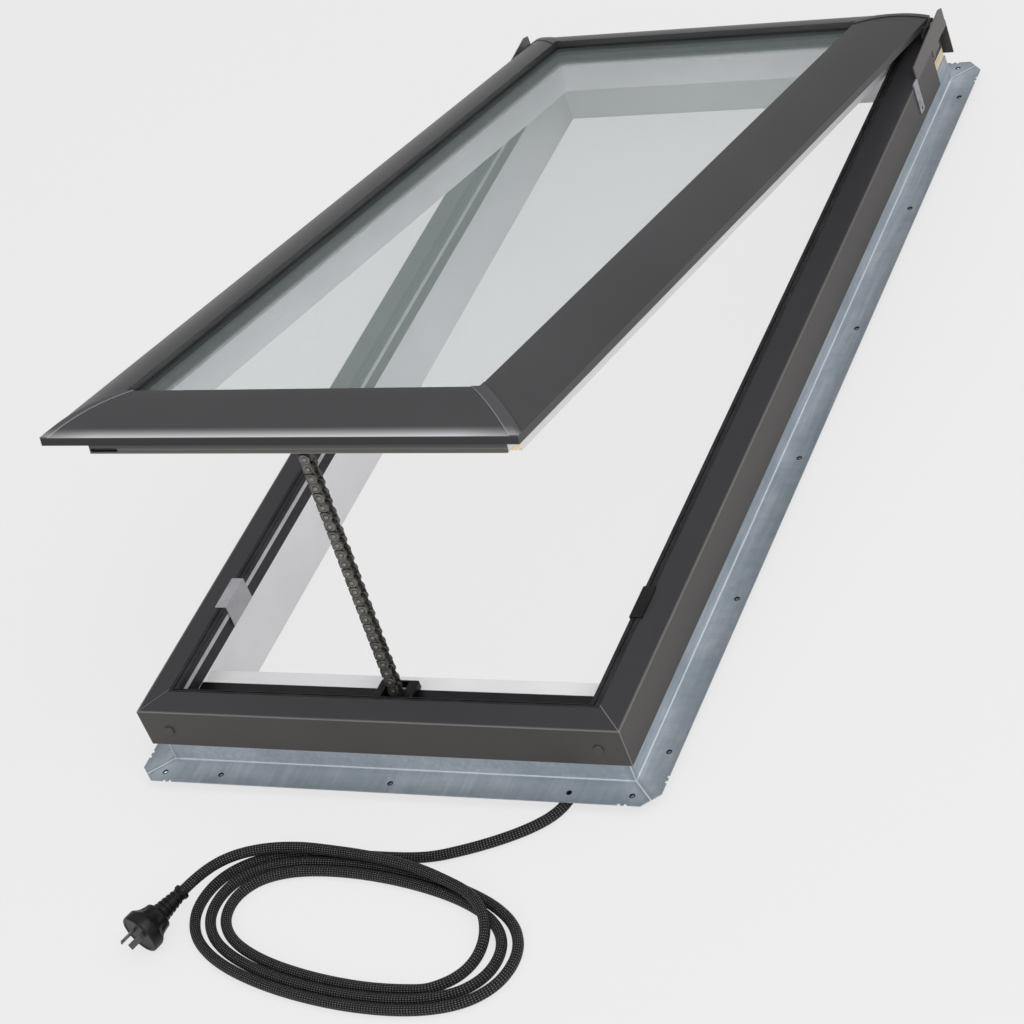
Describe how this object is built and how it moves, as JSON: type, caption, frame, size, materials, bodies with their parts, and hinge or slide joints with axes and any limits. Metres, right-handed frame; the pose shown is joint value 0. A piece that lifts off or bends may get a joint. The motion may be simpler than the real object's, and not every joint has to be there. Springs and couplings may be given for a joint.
{
  "type": "roof skylight",
  "caption": "Chain-driven top-hung roof skylight: glazed sash with domed dark covers, raised off a timber frame with a galvanised mounting flange, power cord and plug.",
  "frame": {"origin": "middle of the frame in plan, on the plane that the frame timbers stand on", "axes": "+X across the window to the right seen from its lower end, +Y up the slope towards the hinges, +Z out of the roof"},
  "size_m": [0.5948, 1.494, 0.4284],
  "materials": {
    "timber": "white lacquer, bare pale pine on cut ends and outer faces",
    "light_strip": "light grey, satin",
    "rubber": "black, matt",
    "galvanised": "galvanised sheet, bluish, faint streaks",
    "dark_cover": "anthracite lacquer, satin",
    "black_plastic": "black, matt",
    "grey_clip": "mid grey, satin",
    "steel": "zinc plated",
    "dark_steel": "dark lacquer",
    "chain_steel": "dark oiled steel",
    "glass": "clear double glazing with a green-grey tint",
    "cord_braid": "black woven braid"
  },
  "bodies": {
    "frame": {"jamb_left": "timber", "jamb_right": "timber", "sill_timber": "timber", "head_timber": "timber", "liner_seal_left": "rubber", "liner_seal_right": "rubber", "liner_strip_left": "light_strip", "liner_strip_right": "light_strip", "flange_front": "galvanised", "flange_right": "galvanised", "flange_rear": "galvanised", "flange_left": "galvanised", "frame_cover_front": "dark_cover", "frame_cover_left": "dark_cover", "frame_cover_right": "dark_cover", "frame_cover_rear": "dark_cover", "frame_gasket": "rubber", "sash_clip_left": "grey_clip", "sash_clip_right": "black_plastic", "cover_screws": "dark_cover", "operator_housing": "black_plastic", "channel_cover": "black_plastic", "chain_mouth": "black_plastic", "hinge_pins": "steel", "hinge_leaf_left": "dark_steel", "hinge_leaf_right": "dark_steel", "hinge_cover_left": "dark_cover", "hinge_cover_right": "dark_cover", "side_strap": "steel", "chain_inner_links": "chain_steel", "chain_outer_links": "chain_steel", "chain_end_block": "chain_steel", "cord_gland": "black_plastic", "cord": "cord_braid", "cord_end": "cord_braid", "cord_coil": "cord_braid", "plug_relief": "black_plastic", "plug_body": "black_plastic", "plug_blades": "steel"},
    "sash": {"sash_cover_front": "dark_cover", "sash_cover_right": "dark_cover", "sash_cover_rear": "dark_cover", "sash_cover_left": "dark_cover", "sash_corner_front_right": "dark_cover", "sash_corner_right_rear": "dark_cover", "sash_corner_rear_left": "dark_cover", "sash_corner_left_front": "dark_cover", "sash_stile_left": "timber", "sash_stile_right": "timber", "sash_rail_front": "timber", "sash_rail_rear": "timber", "sash_front_strip": "dark_cover", "glass_inner": "glass", "glass_outer": "glass", "glass_spacer": "rubber", "glazing_seal": "rubber", "sash_leaf_left": "steel", "sash_leaf_right": "steel", "chain_bracket": "dark_steel"}
  },
  "joints": [
    {"name": "sash_hinge", "type": "hinge", "parent": "frame", "child": "sash", "pos_m": [0, 0.5607, 0.102], "axis": [-1, 0, 0], "range_deg": [-15.7, 0], "deforming": ["chain_inner_links", "chain_outer_links", "chain_end_block"]}
  ]
}
